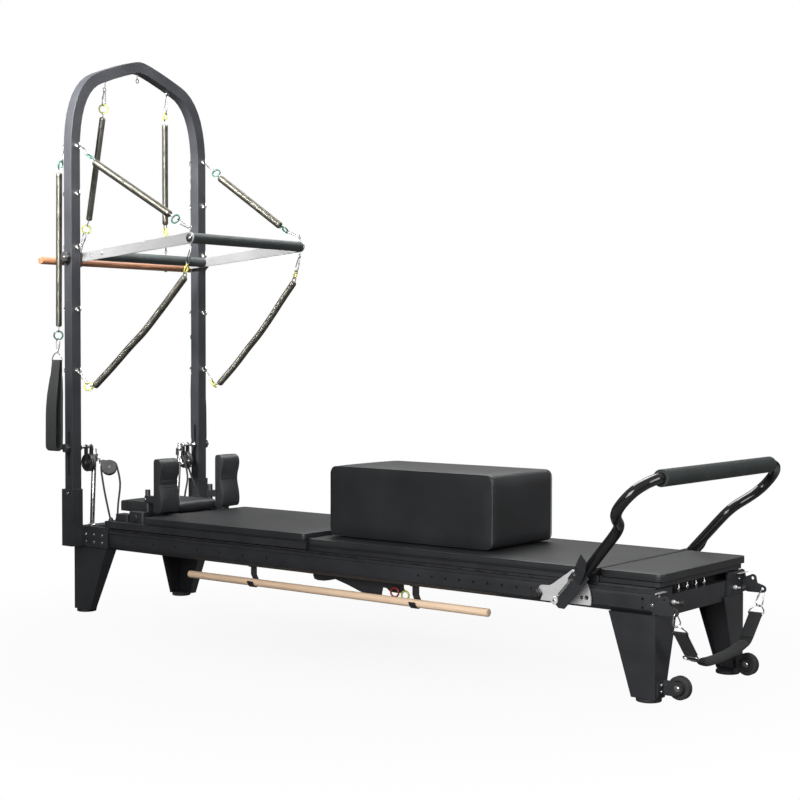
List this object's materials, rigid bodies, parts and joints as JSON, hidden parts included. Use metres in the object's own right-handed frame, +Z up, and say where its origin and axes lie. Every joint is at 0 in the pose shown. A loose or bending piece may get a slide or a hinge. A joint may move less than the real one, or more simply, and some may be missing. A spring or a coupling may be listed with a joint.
{
  "type": "pilates reformer with tower",
  "caption": "Pilates reformer: low rail frame with a sliding padded carriage, mat, sitting box, tilting footbar and an arched spring tower with a swinging push-through bar.",
  "frame": {"origin": "on the floor, under the centre of the object's bounding box", "axes": "+X along the rails from the tower end to the footbar end, -Y towards the side with the spare pole, +Z up"},
  "size_m": [2.6532, 0.9518, 2.1421],
  "materials": {
    "black_powder_coat": "satin",
    "gloss_black_tube": "gloss",
    "black_leather": "satin",
    "dark_foam": "matte",
    "satin_aluminium": "satin",
    "chrome": "polished",
    "spring_steel": "satin",
    "pale_beech": "satin",
    "brown_wood": "satin",
    "black_webbing": "matte",
    "black_rubber": "matte",
    "black_nylon": "satin",
    "black_rope": "matte"
  },
  "bodies": {
    "frame": {"rail_near": "black_powder_coat", "rail_far": "black_powder_coat", "head_crossbeam": "black_powder_coat", "foot_crossbeam": "black_powder_coat", "leg_head_near": "black_powder_coat", "leg_head_far": "black_powder_coat", "leg_foot_near": "black_powder_coat", "leg_foot_far": "black_powder_coat", "foot_head_near": "black_rubber", "foot_head_far": "black_rubber", "foot_foot_near": "black_rubber", "foot_foot_far": "black_rubber", "tower_socket_near": "black_powder_coat", "tower_socket_far": "black_powder_coat", "tower_frame": "black_powder_coat", "rope_post_near": "chrome", "rope_post_far": "chrome", "sector_plate_near": "satin_aluminium", "sector_plate_far": "satin_aluminium", "platform_base": "black_powder_coat", "platform_pad": "black_leather", "rope_near": "black_rope", "rope_far": "black_rope", "upper_spring_near": "spring_steel", "upper_spring_far": "spring_steel", "lower_spring_near": "spring_steel", "lower_spring_far": "spring_steel", "arch_spring_near": "spring_steel", "arch_spring_far": "spring_steel"},
    "wheel_near": {"wheel_near": "black_rubber"},
    "wheel_far": {"wheel_far": "black_rubber"},
    "pulley_slider_near": {"pulley_slider_near": "chrome"},
    "tower_pulley_near": {"tower_pulley_near": "black_nylon"},
    "clamp_knob_near": {"clamp_knob_near": "black_nylon"},
    "pulley_slider_far": {"pulley_slider_far": "chrome"},
    "tower_pulley_far": {"tower_pulley_far": "black_nylon"},
    "clamp_knob_far": {"clamp_knob_far": "black_nylon"},
    "swivel_near": {"swivel_yoke_near": "chrome"},
    "rope_sheave_near": {"rope_sheave_near": "black_nylon"},
    "swivel_far": {"swivel_yoke_far": "chrome"},
    "rope_sheave_far": {"rope_sheave_far": "black_nylon"},
    "carriage": {"carriage_frame": "black_powder_coat", "carriage_pad": "black_leather"},
    "headrest": {"headrest": "black_leather"},
    "shoulder_rest_near": {"shoulder_rest_near": "black_leather"},
    "shoulder_rest_far": {"shoulder_rest_far": "black_leather"},
    "mat": {"conversion_mat": "black_leather"},
    "sitting_box": {"sitting_box": "black_leather"},
    "footbar": {"footbar_frame": "gloss_black_tube", "footbar_grip": "dark_foam"},
    "lock_lever_near": {"lock_lever_near": "black_powder_coat"},
    "lock_lever_far": {"lock_lever_far": "black_powder_coat"},
    "wooden_dowel": {"wooden_dowel": "pale_beech"},
    "push_bar": {"push_bar_frame": "satin_aluminium", "push_bar_front_grip": "dark_foam", "push_bar_rear_grip": "dark_foam"},
    "rolldown_bar": {"rolldown_bar": "brown_wood"},
    "back_spring_near": {"back_spring_near": "spring_steel"},
    "back_spring_far": {"back_spring_far": "spring_steel"},
    "foot_strap": {"foot_strap": "black_webbing"}
  },
  "joints": [
    {"name": "wheel_near_spin", "type": "hinge", "parent": "frame", "child": "wheel_near", "pos_m": [1.2921, -0.21675, 0.0433], "axis": [0, 1, 0], "continuous": true},
    {"name": "wheel_far_spin", "type": "hinge", "parent": "frame", "child": "wheel_far", "pos_m": [1.2921, 0.21675, 0.0433], "axis": [0, 1, 0], "continuous": true},
    {"name": "pulley_height_near", "type": "slide", "parent": "frame", "child": "pulley_slider_near", "axis": [0, 0, 1], "range_m": [-0.1, 0.058]},
    {"name": "tower_pulley_near_spin", "type": "hinge", "parent": "pulley_slider_near", "child": "tower_pulley_near", "pos_m": [-1.2323, -0.2545, 0.576], "axis": [0, 1, 0], "continuous": true},
    {"name": "clamp_knob_near_turn", "type": "hinge", "parent": "pulley_slider_near", "child": "clamp_knob_near", "pos_m": [-1.2323, -0.363, 0.636], "axis": [0, -1, 0], "continuous": true},
    {"name": "pulley_height_far", "type": "slide", "parent": "frame", "child": "pulley_slider_far", "axis": [0, 0, 1], "range_m": [-0.084, 0.074]},
    {"name": "tower_pulley_far_spin", "type": "hinge", "parent": "pulley_slider_far", "child": "tower_pulley_far", "pos_m": [-1.2323, 0.2545, 0.56], "axis": [0, 1, 0], "continuous": true},
    {"name": "clamp_knob_far_turn", "type": "hinge", "parent": "pulley_slider_far", "child": "clamp_knob_far", "pos_m": [-1.2323, 0.363, 0.62], "axis": [0, 1, 0], "continuous": true},
    {"name": "swivel_near_turn", "type": "hinge", "parent": "frame", "child": "swivel_near", "pos_m": [-1.23579, -0.22465, 0.59375], "axis": [0.0637, -0.0101, 0.9979], "range_deg": [0, 60], "deforming": ["rope_near"]},
    {"name": "rope_sheave_near_spin", "type": "hinge", "parent": "swivel_near", "child": "rope_sheave_near", "pos_m": [-1.1746, -0.202, 0.554], "axis": [0.6706, -0.5842, 0.4572], "continuous": true},
    {"name": "swivel_far_turn", "type": "hinge", "parent": "frame", "child": "swivel_far", "pos_m": [-1.23579, 0.22465, 0.59375], "axis": [-0.0637, -0.0101, -0.9979], "range_deg": [0, 60], "deforming": ["rope_far"]},
    {"name": "rope_sheave_far_spin", "type": "hinge", "parent": "swivel_far", "child": "rope_sheave_far", "pos_m": [-1.1746, 0.202, 0.554], "axis": [0.6706, 0.5842, 0.4572], "continuous": true},
    {"name": "carriage_slide", "type": "slide", "parent": "frame", "child": "carriage", "axis": [1, 0, 0], "range_m": [-0.09, 0], "deforming": ["rope_near", "rope_far"]},
    {"name": "headrest_tilt", "type": "hinge", "parent": "carriage", "child": "headrest", "pos_m": [-0.9506, 0, 0.4045], "axis": [0, 1, 0], "range_deg": [0, 35]},
    {"name": "shoulder_rest_near_lift", "type": "slide", "parent": "carriage", "child": "shoulder_rest_near", "axis": [0, 0, 1], "range_m": [0, 0.05]},
    {"name": "shoulder_rest_far_lift", "type": "slide", "parent": "carriage", "child": "shoulder_rest_far", "axis": [0, 0, 1], "range_m": [0, 0.05]},
    {"name": "mat_lift", "type": "slide", "parent": "frame", "child": "mat", "axis": [0, 0, 1], "range_m": [0, 0.3]},
    {"name": "sitting_box_lift", "type": "slide", "parent": "mat", "child": "sitting_box", "axis": [0, 0, 1], "range_m": [0, 0.3]},
    {"name": "footbar_tilt", "type": "hinge", "parent": "frame", "child": "footbar", "pos_m": [0.944, 0, 0.2752], "axis": [0, 1, 0], "range_deg": [-41, 45]},
    {"name": "lock_lever_near_squeeze", "type": "hinge", "parent": "footbar", "child": "lock_lever_near", "pos_m": [1.02032, -0.341, 0.34788], "axis": [-0.749, 0, 0.6626], "range_deg": [0, 10], "stiffness_Nm_per_rad": 1.5, "springref_deg": -20.05},
    {"name": "lock_lever_far_squeeze", "type": "hinge", "parent": "footbar", "child": "lock_lever_far", "pos_m": [1.02032, 0.341, 0.34788], "axis": [0.749, 0, -0.6626], "range_deg": [0, 10], "stiffness_Nm_per_rad": 1.5, "springref_deg": -20.05},
    {"name": "dowel_lift_out", "type": "slide", "parent": "frame", "child": "wooden_dowel", "axis": [0, -0.5, 0.866], "range_m": [0, 0.045]},
    {"name": "push_bar_swing", "type": "hinge", "parent": "frame", "child": "push_bar", "pos_m": [-1.2323, 0, 1.36], "axis": [0, 1, 0], "range_deg": [-75, 75], "stiffness_Nm_per_rad": 40, "springref_deg": -4.23, "deforming": ["upper_spring_near", "upper_spring_far", "lower_spring_near", "lower_spring_far"]},
    {"name": "rolldown_bar_pull", "type": "slide", "parent": "frame", "child": "rolldown_bar", "axis": [0, 0, 1], "range_m": [-0.3, 0.03], "stiffness_N_per_m": 300, "springref_m": 0.00291, "deforming": ["arch_spring_near", "arch_spring_far"]},
    {"name": "back_spring_near_swing", "type": "hinge", "parent": "frame", "child": "back_spring_near", "pos_m": [-1.2826, -0.335, 1.78], "axis": [-1, 0, 0], "range_deg": [0, 60]},
    {"name": "back_spring_far_swing", "type": "hinge", "parent": "frame", "child": "back_spring_far", "pos_m": [-1.2826, 0.335, 1.78], "axis": [1, 0, 0], "range_deg": [0, 60]},
    {"name": "foot_strap_swing", "type": "hinge", "parent": "frame", "child": "foot_strap", "pos_m": [1.3092, 0, 0.2695], "axis": [0, 1, 0], "range_deg": [-80, 5]}
  ]
}
